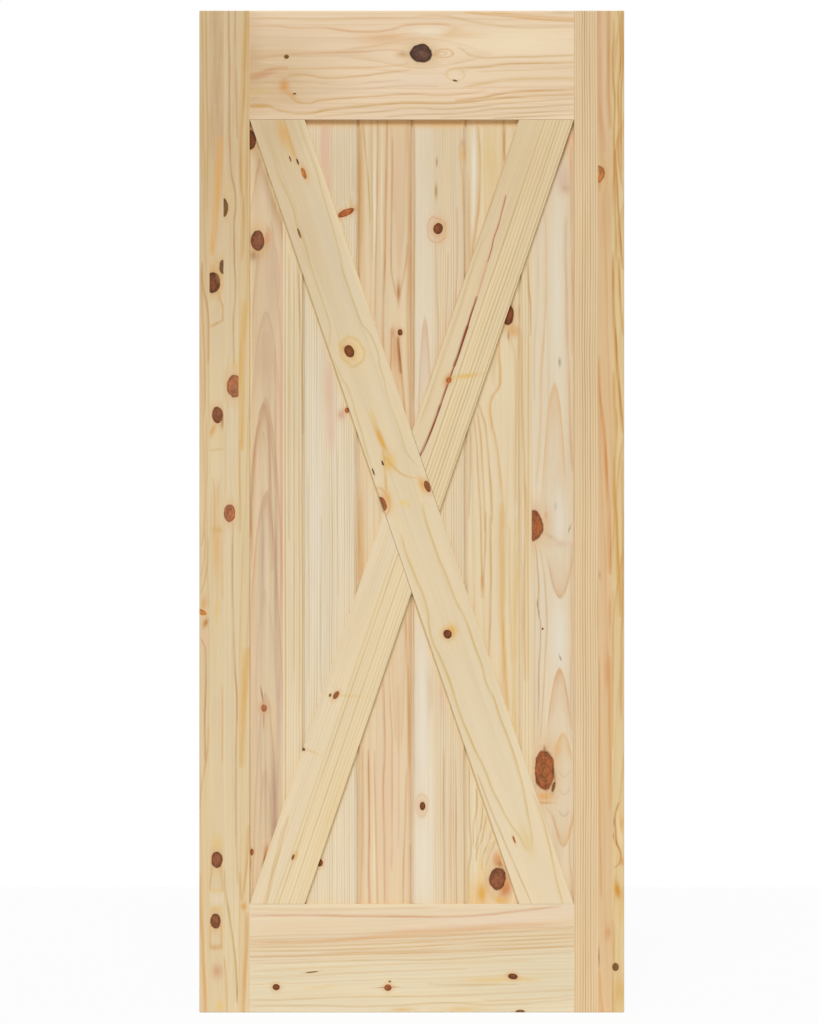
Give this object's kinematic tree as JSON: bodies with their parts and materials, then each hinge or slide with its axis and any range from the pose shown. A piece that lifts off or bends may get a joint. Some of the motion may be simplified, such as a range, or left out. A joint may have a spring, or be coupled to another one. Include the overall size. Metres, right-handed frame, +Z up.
{
  "type": "barn door",
  "caption": "Knotty pine sliding barn door slab: stile-and-rail frame round a panel of V-jointed vertical planks, with a flush X brace on its front face; bare wood, no hardware.",
  "frame": {"origin": "middle of the bottom edge, halfway through the thickness", "axes": "+Z up along the stiles, +X along the rails to the right as seen from the front, and the front with the X brace faces -Y"},
  "size_m": [0.905, 0.035, 2.134],
  "materials": {
    "stiles": "sanded bare knotty pine",
    "rails": "sanded bare knotty pine",
    "planks": "sanded bare knotty pine",
    "braces": "sanded bare knotty pine",
    "dowels": "fluted hardwood",
    "brads": "bright steel wire"
  },
  "bodies": {
    "root": {"left_stile": "stiles", "right_stile": "stiles", "top_rail": "rails", "bottom_rail": "rails", "plank_1": "planks", "plank_2": "planks", "plank_3": "planks", "plank_4": "planks", "plank_5": "planks", "plank_6": "planks", "long_brace": "braces", "upper_short_brace": "braces", "lower_short_brace": "braces", "top_left_dowels": "dowels", "top_right_dowels": "dowels", "bottom_left_dowels": "dowels", "bottom_right_dowels": "dowels", "long_brace_brads": "brads", "upper_brace_brads": "brads", "lower_brace_brads": "brads"}
  },
  "joints": []
}
